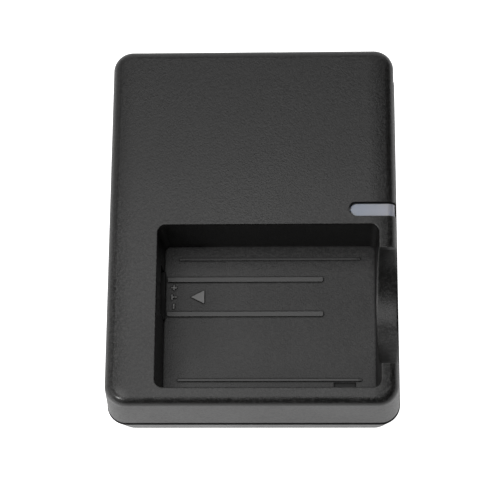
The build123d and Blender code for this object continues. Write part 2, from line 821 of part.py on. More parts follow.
plus_y, sense_y, minus_y = contact_ys
control_x = bay_left + control_inset
resistor_field_x = bay_left + resistor_field_inset
transistor_x = bay_right - transistor_inset
sense_x = bay_right - sense_inset
capacitor_field_x = bay_right - capacitor_field_inset
nodes = {
    "upper_case": upper_case(),
    "lower_case": lower_case(),
    "case_screws": case_screws(),
    "lamp_window": lamp_window(),
    "terminal_block": terminal_block(),
    "contact_positive": contact(plus_y),
    "contact_sense": contact(sense_y),
    "contact_negative": contact(minus_y),
    "insulation_sheet": insulation_sheet(),
    "inlet_socket": inlet_socket(),
    "inlet_pin_live": inlet_pin(-1),
    "inlet_pin_neutral": inlet_pin(1),
    "mains_fuse": mains_fuse(),
    "inrush_thermistor": disc(disc_x, row_front + thermistor_step, disc_radius, disc_thickness),
    "x_capacitor": x_capacitor(),
    "choke_core": choke_core(),
    "choke_windings": choke_windings(),
    "bridge_rectifier": dual_in_line(
        bridge_x, snubber_y - inlet_leg / 2, bridge_width, bridge_length, bridge_height, bridge_pin_count
    ),
    "bulk_capacitor": can(bulk_x, row_middle + bulk_step, bulk_radius, bulk_height),
    "switch_ic": dual_in_line(
        switch_x, row_middle + switch_step, switch_length, switch_width, switch_height, switch_pin_count
    ),
    "snubber_capacitor": disc(
        snubber_x, snubber_y + snubber_disc_step, small_disc_radius, small_disc_thickness
    ),
    "snubber_diode": axial(
        snubber_diode_x, snubber_y, snubber_radius, snubber_length, snubber_pitch, True
    ),
    "snubber_resistor": axial(
        snubber_x, snubber_y + snubber_resistor_step, snubber_radius, snubber_length, snubber_pitch
    ),
    "transformer_core": transformer_core(),
    "transformer_bobbin": transformer_bobbin(),
    "transformer_winding": transformer_winding(),
    "y_capacitor": disc(disc_x, row_front + y_disc_step, disc_radius, disc_thickness),
    "optocoupler": dual_in_line(
        coupler_x, row_front + coupler_step, coupler_length, coupler_width, coupler_height, coupler_pin_count
    ),
    "output_rectifier": axial(
        rectifier_x, rectifier_y, rectifier_radius, rectifier_length, rectifier_pitch
    ),
    "output_capacitor": can(rectifier_x, row_front + output_can_step, output_can_radius, output_can_height),
    "control_ic": small_outline(control_x, terminal_y, control_length, control_width, control_pin_count),
    "charge_transistor": small_outline(
        transistor_x, terminal_y + transistor_step, transistor_length, transistor_width, transistor_pin_count
    ),
    "sense_resistor": chip(sense_x, terminal_y + sense_step, sense_length, sense_width, sense_height),
    "chip_resistors": chip_field(
        resistor_field_x,
        terminal_y + resistor_field_step,
        resistor_column_count,
        resistor_row_count,
        resistor_height,
    ),
    "chip_capacitors": chip_field(
        capacitor_field_x,
        terminal_y + capacitor_field_step,
        capacitor_column_count,
        capacitor_row_count,
        capacitor_height,
    ),
    "status_led": status_led(),
    "main_board": main_board(),
}

os.makedirs("parts", exist_ok=True)
for name, shape in nodes.items():
    piece = Compound(children=shape) if isinstance(shape, list) else shape
    piece.label = name
    export_step(piece, f"parts/{name}.step")
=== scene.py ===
import bpy
from math import pi, radians
from mathutils import Matrix, Vector


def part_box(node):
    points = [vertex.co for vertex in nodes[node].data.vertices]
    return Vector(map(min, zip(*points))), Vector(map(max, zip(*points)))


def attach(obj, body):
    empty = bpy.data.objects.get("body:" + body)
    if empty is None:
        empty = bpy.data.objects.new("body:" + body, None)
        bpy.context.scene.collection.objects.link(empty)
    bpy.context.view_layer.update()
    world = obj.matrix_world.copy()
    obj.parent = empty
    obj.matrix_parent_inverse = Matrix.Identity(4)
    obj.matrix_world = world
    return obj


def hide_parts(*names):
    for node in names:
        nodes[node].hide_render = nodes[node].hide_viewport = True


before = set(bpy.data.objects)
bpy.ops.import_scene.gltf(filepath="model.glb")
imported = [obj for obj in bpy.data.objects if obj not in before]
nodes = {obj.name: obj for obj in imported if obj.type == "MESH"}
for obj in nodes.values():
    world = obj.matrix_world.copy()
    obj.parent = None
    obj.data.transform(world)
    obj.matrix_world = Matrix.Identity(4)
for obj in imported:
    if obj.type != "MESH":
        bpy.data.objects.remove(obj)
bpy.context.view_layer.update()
mm = 0.001

# Heights and edges of the case that the finishes follow, in metres
bay_floor = 10.1 * mm
board_top = 5.6 * mm
board_bottom = 4.0 * mm
shoulder_start = 26.4 * mm
shoulder_width = 3.6 * mm
shoulder_slope = 0.13
shoulder_low = 24.3 * mm
# Centre of the polished spot with a painted highlight, on the front left corner of the top
polished_highlight_spot = (-29.9 * mm, -40.6 * mm, 25.8 * mm)
# Boxes in and by the bay with looks of their own: opposite corners in mm, heights from the floor of the bay
bay_boxes = {
    "rails": ((-21.2, -38.2, 0.12), (24.0, -0.8, 0.6)),
    "marks": ((-19.6, -16.8, 0.12), (-11.3, -10.0, 0.4)),
    "pan": ((-21.5, -38.6, -10.0), (28.9, -0.4, 0.11)),
    "scoop": ((27.4, -33.0, 0.5), (34.0, -6.0, 20.0)),
    # The slot box paints shade on the slot's floor
    "slot": ((17.0, -38.6, -0.6), (25.0, -34.0, -0.12)),
    # This box paints a highlight along the edges at the back of the scoop and the bay's right wall
    "painted_edge_highlight": ((26.0, -26.0, 1.5), (30.4, 1.6, 20.0)),
}


# Small helpers that lay out shader and geometry nodes

def put(tree, kind, settings=None, **inputs):
    """A node with its settings; an input takes a value or another node's socket."""
    made = tree.nodes.new(kind)
    for name, value in (settings or {}).items():
        setattr(made, name, value)
    for name, value in inputs.items():
        feed(tree, made.inputs[name.replace("_", " ")], value)
    return made


def feed(tree, socket, value):
    """Sets a socket, or links it where the value is a socket itself."""
    if isinstance(value, bpy.types.NodeSocket):
        tree.links.new(value, socket)
    else:
        socket.default_value = value


def sums(tree, operation, first, second=None, third=None, clamp=False):
    """The result of a Math node."""
    made = tree.nodes.new("ShaderNodeMath")
    made.operation = operation
    made.use_clamp = clamp
    for socket, value in zip(made.inputs, (first, second, third)):
        if value is not None:
            feed(tree, socket, value)
    return made.outputs[0]


def ramp(tree, value, low, high, from_low=0.0, from_high=1.0):
    """A value carried from one range to another, held at its ends."""
    made = put(tree, "ShaderNodeMapRange")
    for socket, item in zip(made.inputs, (value, from_low, from_high, low, high)):
        feed(tree, socket, item)
    return made.outputs["Result"]


def blend(tree, share, first, second):
    """A colour between two others."""
    made = put(tree, "ShaderNodeMix", {"data_type": "RGBA"})
    feed(tree, made.inputs["Factor"], share)
    feed(tree, made.inputs[6], first)
    feed(tree, made.inputs[7], second)
    return made.outputs[2]


def grey(value, warm=0.0):
    """A grey, a little warm or cool."""
    return (value * (1 + warm), value, value * (1 - warm), 1.0)


def shared(name, inputs, outputs):
    """An empty shader group with named sockets, and its two ends."""
    tree = bpy.data.node_groups.new(name, "ShaderNodeTree")
    for title, kind, value in inputs:
        socket = tree.interface.new_socket(title, in_out="INPUT", socket_type=kind)
        if value is not None:
            socket.default_value = value
    for title, kind in outputs:
        tree.interface.new_socket(title, in_out="OUTPUT", socket_type=kind)
    return tree, tree.nodes.new("NodeGroupInput"), tree.nodes.new("NodeGroupOutput")


# Effects that several finishes share

def spark_grain_group():
    """The fine pitted grain of a spark-eroded mould: a height and a slow drift of tone."""
    tree, start, end = shared(
        "spark grain",
        [
            ("Place", "NodeSocketVector", None),
            ("Grains per metre", "NodeSocketFloat", 3400.0),
            ("Patches per metre", "NodeSocketFloat", 55.0),
        ],
        [("Height", "NodeSocketFloat"), ("Fleck", "NodeSocketFloat"), ("Patch", "NodeSocketFloat")],
    )
    place = start.outputs["Place"]
    fine = put(tree, "ShaderNodeTexNoise", Vector=place, Scale=start.outputs["Grains per metre"], Detail=1.5)
    coarse = put(
        tree,
        "ShaderNodeTexNoise",
        Vector=place,
        Scale=sums(tree, "MULTIPLY", start.outputs["Grains per metre"], 0.42),
        Detail=1.0,
    )
    height = sums(tree, "MULTIPLY_ADD", coarse.outputs["Fac"], 0.45, fine.outputs["Fac"])
    speck = sums(tree, "MULTIPLY_ADD", coarse.outputs["Fac"], 0.7, fine.outputs["Fac"])
    fleck = ramp(tree, speck, 0.0, 1.0, 0.76, 1.06)
    patches = start.outputs["Patches per metre"]
    patch = put(tree, "ShaderNodeTexNoise", Vector=place, Scale=patches, Detail=3.0)
    feed(tree, end.inputs["Height"], height)
    feed(tree, end.inputs["Fleck"], fleck)
    feed(tree, end.inputs["Patch"], ramp(tree, patch.outputs["Fac"], 0.0, 1.0, 0.32, 0.68))
    return tree


def edge_wear_group():
    """Edges smoothed by wear: a mask along them, broken up, and a normal that rounds them."""
    tree, start, end = shared(
        "edge wear",
        [
            ("Place", "NodeSocketVector", None),
            ("Rounding", "NodeSocketFloat", 0.2 * mm),
            ("Breaks per metre", "NodeSocketFloat", 420.0),
        ],
        [("Mask", "NodeSocketFloat"), ("Normal", "NodeSocketVector")],
    )
    rounded = put(tree, "ShaderNodeBevel", {"samples": 6}, Radius=start.outputs["Rounding"])
    plain = put(tree, "ShaderNodeNewGeometry")
    cosine = put(tree, "ShaderNodeVectorMath", {"operation": "DOT_PRODUCT"})
    feed(tree, cosine.inputs[0], rounded.outputs["Normal"])
    feed(tree, cosine.inputs[1], plain.outputs["Normal"])
    edge = ramp(tree, cosine.outputs["Value"], 1.0, 0.0, 0.80, 0.985)
    broken = put(
        tree,
        "ShaderNodeTexNoise",
        Vector=start.outputs["Place"],
        Scale=start.outputs["Breaks per metre"],
        Detail=4.0,
        Roughness=0.65,
    )
    share = ramp(tree, broken.outputs["Fac"], 0.25, 1.0, 0.38, 0.62)
    feed(tree, end.inputs["Mask"], sums(tree, "MULTIPLY", edge, share, clamp=True))
    feed(tree, end.inputs["Normal"], rounded.outputs["Normal"])
    return tree


def crevice_group():
    """Painted shade in corners and crevices: a mask that grows towards them."""
    tree, start, end = shared(
        "crevice",
        [("Reach", "NodeSocketFloat", 0.5 * mm)],
        [("Mask", "NodeSocketFloat")],
    )
    open_sky = put(tree, "ShaderNodeAmbientOcclusion", {"samples": 8}, Distance=start.outputs["Reach"])
    feed(tree, end.inputs["Mask"], ramp(tree, open_sky.outputs["AO"], 1.0, 0.0, 0.45, 0.95))
    return tree


def height_band_group():
    """A mask between two heights, soft over a short step."""
    tree, start, end = shared(
        "height band",
        [
            ("Place", "NodeSocketVector", None),
            ("Low", "NodeSocketFloat", 0.0),
            ("High", "NodeSocketFloat", 1.0),
            ("Step", "NodeSocketFloat", 0.02 * mm),
        ],
        [("Mask", "NodeSocketFloat")],
    )
    z = put(tree, "ShaderNodeSeparateXYZ", Vector=start.outputs["Place"]).outputs["Z"]
    step = start.outputs["Step"]
    above = sums(tree, "DIVIDE", sums(tree, "SUBTRACT", z, start.outputs["Low"]), step, clamp=True)
    below = sums(tree, "DIVIDE", sums(tree, "SUBTRACT", start.outputs["High"], z), step, clamp=True)
    feed(tree, end.inputs["Mask"], sums(tree, "MULTIPLY", above, below))
    return tree


spark_grain = spark_grain_group()
edge_wear = edge_wear_group()
crevice = crevice_group()
height_band = height_band_group()


def use(tree, group, **inputs):
    """A shared effect placed in a material."""
    made = tree.nodes.new("ShaderNodeGroup")
    made.node_tree = group
    for name, value in inputs.items():
        feed(tree, made.inputs[name.replace("_", " ")], value)
    return made.outputs


def new_finish(name):
    """A material with an empty Principled shader, its tree and the place on the piece."""
    made = bpy.data.materials.new(name)
    made.use_nodes = True
    tree = made.node_tree
    shader = tree.nodes["Principled BSDF"]
    place = tree.nodes.new("ShaderNodeTexCoord").outputs["Object"]
    return made, tree, shader, place


def bump(tree, height, strength, depth, normal=None):
    """A normal from a height."""
    made = put(tree, "ShaderNodeBump", Height=height, Strength=strength, Distance=depth)
    if normal is not None:
        feed(tree, made.inputs["Normal"], normal)
    return made.outputs["Normal"]


# Finishes of the case

def box_mask(tree, place, low, high):
    """A mask inside a box that stands square to the axes."""
    parts = put(tree, "ShaderNodeSeparateXYZ", Vector=place)
    mask = None
    for axis, least, most in zip("XYZ", low, high):
        value = parts.outputs[axis]
        above = sums(tree, "GREATER_THAN", value, least)
        inside = sums(tree, "MULTIPLY", above, sums(tree, "LESS_THAN", value, most))
        mask = inside if mask is None else sums(tree, "MULTIPLY", mask, inside)
    return mask


def shoulder_height(tree, place):
    """The slight fall of the top towards the long sides, as a height below the flat."""
    across = sums(tree, "ABSOLUTE", put(tree, "ShaderNodeSeparateXYZ", Vector=place).outputs["X"])
    past = sums(tree, "MAXIMUM", sums(tree, "SUBTRACT", across, shoulder_start), 0.0)
    return sums(tree, "MULTIPLY", sums(tree, "MULTIPLY", past, past), -shoulder_slope / (2 * shoulder_width))


def bay_masks(tree, place):
    """A mask for each box in and by the bay."""
    masks = {}
    for name, corners in bay_boxes.items():
        low, high = [(x * mm, y * mm, bay_floor + z * mm) for x, y, z in corners]
        masks[name] = box_mask(tree, place, low, high)
    return masks


def corner_mask(tree, place):
    """A soft spot on the front left corner of the top, polished smooth and with a painted highlight."""
    away = put(tree, "ShaderNodeVectorMath", {"operation": "DISTANCE"})
    feed(tree, away.inputs[0], place)
    feed(tree, away.inputs[1], polished_highlight_spot)
    return ramp(tree, away.outputs["Value"], 1.0, 0.0, 0.8 * mm, 3.0 * mm)


def fleck_glint_mask(tree, y):
    """How far the light flecks show, partly grain and partly painted glints: most on faces that look up, and
    more towards the front.
    """
    normal = put(tree, "ShaderNodeNewGeometry").outputs["Normal"]
    upright = put(tree, "ShaderNodeSeparateXYZ", Vector=normal).outputs["Z"]
    flat = ramp(tree, upright, 0.15, 1.0, 0.6, 0.97)
    return sums(tree, "MULTIPLY", ramp(tree, y, 0.9, 0.3, -6 * mm, 14 * mm), flat)


def case_plastic(name, tone, roughness, raised, reach=0.5 * mm):
    """Near-black moulded plastic with a fine grain, edges smoothed by wear and painted shade in its
    crevices; the top also has the bay's marks and painted light: glints in the flecks, a sheen on the rails,
    shade in the slot, and highlights on the front left corner and along the scoop's edge.
    """
    made, tree, shader, place = new_finish(name)
    grain = use(tree, spark_grain, Place=place)
    rounding, strength, fleck_and_glint_share = 0.22 * mm, 0.85, 0.35
    if raised:
        box = bay_masks(tree, place)
        corner = corner_mask(tree, place)
        at = put(tree, "ShaderNodeSeparateXYZ", Vector=place).outputs
        rounding = ramp(tree, box["rails"], ramp(tree, box["scoop"], rounding, 0.8 * mm), 0.1 * mm)
        strength = ramp(tree, corner, ramp(tree, box["rails"], strength, 0.12), 0.25)
        fleck_and_glint_share = fleck_glint_mask(tree, at["Y"])
    wear = use(tree, edge_wear, Place=place, Rounding=rounding)
    normal = wear["Normal"]
    worn = sums(tree, "MULTIPLY", wear["Mask"], 0.55)
    crevice_shade = use(tree, crevice, Reach=reach)["Mask"]
    colour = blend(tree, grain["Patch"], grey(tone * 0.86, 0.02), grey(tone * 1.12, 0.03))
    # Flecks lighter than the plastic: grain specks, made stronger on faces that look up and towards the
    # front as painted glints
    fleck = sums(tree, "MULTIPLY", grain["Fleck"], fleck_and_glint_share)
    colour = blend(tree, fleck, colour, grey(tone * 5.6, 0.02))
    rough = sums(tree, "MULTIPLY_ADD", grain["Patch"], 0.05, roughness - 0.06)
    rough = sums(tree, "MULTIPLY_ADD", grain["Fleck"], 0.08, rough)
    if raised:
        top = sums(tree, "GREATER_THAN", at["Z"], shoulder_low)
        normal = bump(tree, shoulder_height(tree, place), top, 1.0, normal)
        # Painted sheen: the rails' tops lighter, standing for the light off their smoother tops
        colour = blend(tree, sums(tree, "MULTIPLY", box["rails"], 0.85), colour, grey(tone * 5.5, 0.01))
        colour = blend(tree, box["marks"], colour, grey(0.235, 0.01))
        # Painted shade: the floor of the slot darker
        colour = blend(tree, box["slot"], colour, grey(tone * 0.7))
        # Painted highlight on the front left corner
        colour = blend(tree, sums(tree, "MULTIPLY", corner, 0.8), colour, grey(tone * 7.0, 0.01))
        rough = sums(tree, "MULTIPLY_ADD", box["pan"], 0.06, rough)
        rough = ramp(tree, box["rails"], rough, 0.34)
        rough = ramp(tree, corner, rough, 0.22)
        rough = ramp(tree, box["slot"], rough, 0.58)
    colour = blend(tree, worn, colour, grey(tone * 2.8, 0.02))
    if raised:
        # Painted highlight along the edges at the back of the scoop and the bay's right wall
        painted_edge_highlight = sums(tree, "MULTIPLY", box["painted_edge_highlight"], ramp(tree, at["Y"], 0.0, 1.0, -24 * mm, -16 * mm))
        colour = blend(tree, sums(tree, "MULTIPLY", wear["Mask"], painted_edge_highlight), colour, grey(0.22, 0.01))
    rough = ramp(tree, worn, rough, 0.34)
    # Painted shade: crevices made darker, and rougher
    colour = blend(tree, sums(tree, "MULTIPLY", crevice_shade, 0.6), colour, grey(tone * 0.45))
    rough = ramp(tree, crevice_shade, rough, 0.85)
    feed(tree, shader.inputs["Base Color"], colour)
    feed(tree, shader.inputs["Roughness"], rough)
    shader.inputs["IOR"].default_value = 1.52
    feed(tree, shader.inputs["Normal"], bump(tree, grain["Height"], strength, 0.05 * mm, normal))
    return made


def lamp_plastic():
    """Frosted bluish window over the charge lamp."""
    made, tree, shader, place = new_finish("frosted lamp plastic")
    grain = use(tree, spark_grain, Place=place, Grains_per_metre=2600.0, Patches_per_metre=160.0)
    wear = use(tree, edge_wear, Place=place, Rounding=0.25 * mm)
    along = put(tree, "ShaderNodeSeparateXYZ", Vector=place).outputs["X"]
    far = ramp(tree, along, 0.0, 1.0, 24 * mm, 33 * mm)
    colour = blend(tree, far, (0.36, 0.40, 0.48, 1.0), (0.50, 0.50, 0.55, 1.0))
    colour = blend(tree, sums(tree, "MULTIPLY", grain["Patch"], 0.3), colour, (0.42, 0.46, 0.54, 1.0))
    feed(tree, shader.inputs["Base Color"], colour)
    feed(tree, shader.inputs["Roughness"], sums(tree, "MULTIPLY_ADD", grain["Patch"], 0.1, 0.28))
    shader.inputs["Transmission Weight"].default_value = 0.06
    shader.inputs["Subsurface Weight"].default_value = 0.8
    shader.inputs["Subsurface Radius"].default_value = (0.6, 0.7, 0.9)
    shader.inputs["Subsurface Scale"].default_value = 1.6 * mm
    shader.inputs["IOR"].default_value = 1.58
    feed(tree, shader.inputs["Normal"], bump(tree, grain["Height"], 0.18, 0.02 * mm, wear["Normal"]))
    return made


def smooth_plastic(name, tone, roughness=0.34):
    """Plain moulded insulator with a fine sheen, faint flow marks and edges smoothed by wear."""
    made, tree, shader, place = new_finish(name)
    grain = use(tree, spark_grain, Place=place, Grains_per_metre=1500.0, Patches_per_metre=140.0)
    wear = use(tree, edge_wear, Place=place, Rounding=0.15 * mm)
    colour = blend(tree, grain["Patch"], grey(tone * 0.85), grey(tone * 1.2, 0.02))
    colour = blend(tree, sums(tree, "MULTIPLY", wear["Mask"], 0.5), colour, grey(tone * 3.0))
    feed(tree, shader.inputs["Base Color"], colour)
    feed(tree, shader.inputs["Roughness"], sums(tree, "MULTIPLY_ADD", grain["Patch"], 0.14, roughness))
    feed(tree, shader.inputs["Normal"], bump(tree, grain["Height"], 0.12, 0.02 * mm, wear["Normal"]))
    return made


def plated_metal(name, colour, dull, roughness):
    """Plated metal with fine drawn lines and dull patches."""
    made, tree, shader, place = new_finish(name)
    stretch = put(tree, "ShaderNodeMapping", Vector=place)
    stretch.inputs["Scale"].default_value = (1.0, 0.06, 1.0)
    lines = put(tree, "ShaderNodeTexNoise", Vector=stretch.outputs["Vector"], Scale=9000.0, Detail=2.0)
    grain = use(tree, spark_grain, Place=place, Grains_per_metre=2400.0, Patches_per_metre=420.0)
    wear = use(tree, edge_wear, Place=place, Rounding=0.12 * mm)
    mixed = blend(tree, grain["Patch"], colour, dull)
    bright = tuple(min(1, c * 1.4) for c in colour)
    mixed = blend(tree, sums(tree, "MULTIPLY", wear["Mask"], 0.6), mixed, bright)
    feed(tree, shader.inputs["Base Color"], mixed)
    shader.inputs["Metallic"].default_value = 1.0
    rough = sums(tree, "MULTIPLY_ADD", lines.outputs["Fac"], 0.2, roughness - 0.1)
    feed(tree, shader.inputs["Roughness"], sums(tree, "MULTIPLY_ADD", grain["Patch"], 0.12, rough))
    feed(tree, shader.inputs["Normal"], bump(tree, lines.outputs["Fac"], 0.15, 0.01 * mm, wear["Normal"]))
    return made


# Finishes of the parts inside

def part_finish(name, colour, second, roughness, grains=1800.0, depth=0.15, tinned=True):
    """A part's coat with its own grain, and tinned leads below it where it has them."""
    made, tree, shader, place = new_finish(name)
    grain = use(tree, spark_grain, Place=place, Grains_per_metre=grains, Patches_per_metre=260.0)
    wear = use(tree, edge_wear, Place=place, Rounding=0.12 * mm)
    mixed = blend(tree, grain["Patch"], colour, second)
    bright = tuple(min(1.0, 1.35 * c + 0.02) for c in colour[:3]) + (1.0,)
    mixed = blend(tree, sums(tree, "MULTIPLY", wear["Mask"], 0.5), mixed, bright)
    rough = sums(tree, "MULTIPLY_ADD", grain["Patch"], 0.12, roughness)
    if tinned:
        tin = use(tree, height_band, Place=place, Low=-1.0, High=board_top + 0.3 * mm)["Mask"]
        mixed = blend(tree, tin, mixed, (0.62, 0.62, 0.60, 1.0))
        feed(tree, shader.inputs["Metallic"], tin)
        rough = ramp(tree, tin, rough, 0.32)
    feed(tree, shader.inputs["Base Color"], mixed)
    feed(tree, shader.inputs["Roughness"], rough)
    feed(tree, shader.inputs["Normal"], bump(tree, grain["Height"], depth, 0.04 * mm, wear["Normal"]))
    return made


def sleeve_finish():
    """Shrunk sleeve of a capacitor with a pale stripe and a bare aluminium end."""
    made, tree, shader, place = new_finish("capacitor sleeve")
    grain = use(tree, spark_grain, Place=place, Grains_per_metre=1200.0, Patches_per_metre=200.0)
    wear = use(tree, edge_wear, Place=place, Rounding=0.2 * mm)
    parts = put(tree, "ShaderNodeSeparateXYZ", Vector=place)
    sleeve = blend(tree, grain["Patch"], (0.010, 0.016, 0.05, 1.0), (0.016, 0.024, 0.07, 1.0))
    stripe = sums(tree, "LESS_THAN", sums(tree, "WRAP", parts.outputs["Y"], 0.0, 26 * mm), 2.4 * mm)
    sleeve = blend(tree, sums(tree, "MULTIPLY", stripe, 0.8), sleeve, (0.42, 0.44, 0.47, 1.0))
    upright = put(tree, "ShaderNodeSeparateXYZ", Vector=put(tree, "ShaderNodeNewGeometry").outputs["Normal"])
    lid = sums(tree, "GREATER_THAN", upright.outputs["Z"], 0.97)
    tin = use(tree, height_band, Place=place, Low=-1.0, High=board_top)["Mask"]
    metal = sums(tree, "MAXIMUM", lid, tin)
    colour = blend(tree, metal, sleeve, (0.70, 0.70, 0.71, 1.0))
    feed(tree, shader.inputs["Base Color"], colour)
    feed(tree, shader.inputs["Metallic"], metal)
    rough = ramp(tree, metal, sums(tree, "MULTIPLY_ADD", grain["Patch"], 0.1, 0.3), 0.36)
    feed(tree, shader.inputs["Roughness"], rough)
    feed(tree, shader.inputs["Normal"], bump(tree, grain["Height"], 0.1, 0.02 * mm, wear["Normal"]))
    return made


def laminate_finish():
    """Green solder mask with the tracks showing through it."""
    made, tree, shader, place = new_finish("board laminate")
    grain = use(tree, spark_grain, Place=place, Grains_per_metre=1400.0, Patches_per_metre=120.0)
    wear = use(tree, edge_wear, Place=place, Rounding=0.15 * mm)
    cells = put(
        tree,
        "ShaderNodeTexVoronoi",
        {"distance": "MANHATTAN", "feature": "F1", "voronoi_dimensions": "2D"},
        Vector=place,
        Scale=190.0,
        Randomness=0.72,
    )
    track = sums(tree, "GREATER_THAN", sums(tree, "PINGPONG", cells.outputs["Distance"], 0.17), 0.075)
    mask = blend(tree, grain["Patch"], (0.010, 0.085, 0.030, 1.0), (0.014, 0.11, 0.040, 1.0))
    colour = blend(tree, sums(tree, "MULTIPLY", track, 0.55), mask, (0.035, 0.19, 0.07, 1.0))
    feed(tree, shader.inputs["Base Color"], colour)
    feed(tree, shader.inputs["Roughness"], sums(tree, "MULTIPLY_ADD", grain["Patch"], 0.12, 0.32))
    height = sums(tree, "MULTIPLY_ADD", track, 0.8, sums(tree, "MULTIPLY", grain["Height"], 0.2))
    feed(tree, shader.inputs["Normal"], bump(tree, height, 0.4, 0.035 * mm, wear["Normal"]))
    return made


def wire_finish(name, colour, second, pitch):
    """Enamelled wire or tape, in close turns."""
    made, tree, shader, place = new_finish(name)
    grain = use(tree, spark_grain, Place=place, Grains_per_metre=900.0, Patches_per_metre=350.0)
    turns = put(
        tree,
        "ShaderNodeTexWave",
        {"wave_type": "BANDS", "bands_direction": "Z", "wave_profile": "SIN"},
        Vector=place,
        Scale=0.32 / pitch,
        Distortion=0.4,
        Detail=1.0,
    )
    wear = use(tree, edge_wear, Place=place, Rounding=0.15 * mm)
    mixed = blend(tree, sums(tree, "MULTIPLY", grain["Patch"], turns.outputs["Fac"]), colour, second)
    feed(tree, shader.inputs["Base Color"], mixed)
    feed(tree, shader.inputs["Roughness"], sums(tree, "MULTIPLY_ADD", grain["Patch"], 0.15, 0.28))
    feed(tree, shader.inputs["Normal"], bump(tree, turns.outputs["Fac"], 0.5, 0.08 * mm, wear["Normal"]))
    return made


finishes = {
    "upper_case": case_plastic("grained case plastic, top", 0.0085, 0.37, True),
    # The base's longer reach paints shade into the gap at the seam
    "lower_case": case_plastic("grained case plastic, base", 0.0085, 0.37, False, 1.2 * mm),
    "lamp_window": lamp_plastic(),
    "terminal_block": smooth_plastic("black insulator", 0.006, 0.62),
    "inlet_socket": smooth_plastic("inlet insulator", 0.013, 0.40),
    "transformer_bobbin": smooth_plastic("bobbin plastic", 0.016, 0.45),
    "contact": plated_metal("nickel plate", (0.66, 0.63, 0.57, 1.0), (0.50, 0.48, 0.44, 1.0), 0.28),
    "case_screws": plated_metal("black zinc", (0.09, 0.09, 0.095, 1.0), (0.05, 0.05, 0.055, 1.0), 0.38),
    "main_board": laminate_finish(),
    "insulation_sheet": part_finish(
        "barrier film", (0.55, 0.52, 0.42, 1.0), (0.62, 0.60, 0.50, 1.0), 0.3, 700.0, 0.08, tinned=False
    ),
    "mains_fuse": part_finish("fuse body", (0.10, 0.035, 0.018, 1.0), (0.13, 0.05, 0.025, 1.0), 0.35),
    "inrush_thermistor": part_finish(
        "thermistor coat", (0.02, 0.05, 0.03, 1.0), (0.03, 0.07, 0.04, 1.0), 0.5, 900.0, 0.3
    ),
    "x_capacitor": part_finish("film box", (0.60, 0.36, 0.03, 1.0), (0.68, 0.42, 0.05, 1.0), 0.36),
    "ferrite": part_finish(
        "ferrite", (0.022, 0.021, 0.022, 1.0), (0.04, 0.038, 0.037, 1.0), 0.55, 3200.0, 0.5, tinned=False
    ),
    "choke_windings": wire_finish(
        "enamelled copper", (0.36, 0.11, 0.03, 1.0), (0.55, 0.20, 0.06, 1.0), 0.5 * mm
    ),
    "transformer_winding": wire_finish(
        "winding tape", (0.62, 0.43, 0.05, 1.0), (0.72, 0.54, 0.12, 1.0), 1.5 * mm
    ),
    "moulded": part_finish(
        "moulded epoxy", (0.012, 0.012, 0.013, 1.0), (0.022, 0.022, 0.023, 1.0), 0.48, 2600.0, 0.3
    ),
    "capacitor": sleeve_finish(),
    "disc": part_finish("disc coat", (0.03, 0.11, 0.32, 1.0), (0.05, 0.15, 0.38, 1.0), 0.33, 700.0, 0.3),
    "snubber_resistor": part_finish("resistor body", (0.42, 0.27, 0.13, 1.0), (0.50, 0.34, 0.18, 1.0), 0.36),
    "chip_resistors": part_finish(
        "chip resistor", (0.02, 0.02, 0.024, 1.0), (0.035, 0.035, 0.04, 1.0), 0.3, tinned=False
    ),
    "chip_capacitors": part_finish(
        "chip capacitor", (0.30, 0.20, 0.12, 1.0), (0.36, 0.25, 0.16, 1.0), 0.36, tinned=False
    ),
    "status_led": part_finish(
        "lamp body", (0.70, 0.68, 0.62, 1.0), (0.78, 0.77, 0.72, 1.0), 0.25, tinned=False
    ),
}
same_finish = {
    "contact_positive": "contact",
    "contact_sense": "contact",
    "contact_negative": "contact",
    "inlet_pin_live": "contact",
    "inlet_pin_neutral": "contact",
    "choke_core": "ferrite",
    "transformer_core": "ferrite",
    "bridge_rectifier": "moulded",
    "switch_ic": "moulded",
    "optocoupler": "moulded",
    "control_ic": "moulded",
    "charge_transistor": "moulded",
    "snubber_diode": "moulded",
    "output_rectifier": "moulded",
    "bulk_capacitor": "capacitor",
    "output_capacitor": "capacitor",
    "snubber_capacitor": "disc",
    "y_capacitor": "disc",
    "sense_resistor": "chip_resistors",
}
for name, node in nodes.items():
    finish = finishes[same_finish.get(name, name)]
    node.data.materials.clear()
    node.data.materials.append(finish)


# Pieces that repeat, made with Geometry Nodes

screw_spots = ((26.6, 36.85), (-26.6, 36.85), (-26.6, -36.85), (24.2, -33.8))
screw_seat = 2.2 * mm
# Half of a screw's outline: grid row, radius and height above the seat, in mm
screw_profile = (
    (0, 0.0, -1.6),
    (2, 1.25, -1.6),
    (4, 1.7, -1.5),
    (6, 2.02, -1.2),
    (8, 2.17, -0.85),
    (9, 2.2, -0.5),
    (10, 2.2, 0.0),
    (12, 0.82, 0.0),
    (76, 0.82, 5.6),
    (80, 0.02, 6.5),
)
# Grid rows where the thread starts, is full, starts to fall and is gone
thread_rows = (14, 18, 74, 79)
ring_radius = 4.4
turn_count = 14
turn_arc = 128.0


def named_tree(name, inputs):
    """An empty geometry tree with named inputs, and its two ends."""
    tree = bpy.data.node_groups.new(name, "GeometryNodeTree")
    tree.interface.new_socket("Geometry", in_out="INPUT", socket_type="NodeSocketGeometry")
    for title, kind in inputs:
        tree.interface.new_socket(title, in_out="INPUT", socket_type=kind)
    tree.interface.new_socket("Geometry", in_out="OUTPUT", socket_type="NodeSocketGeometry")
    return tree, tree.nodes.new("NodeGroupInput").outputs, tree.nodes.new("NodeGroupOutput").inputs


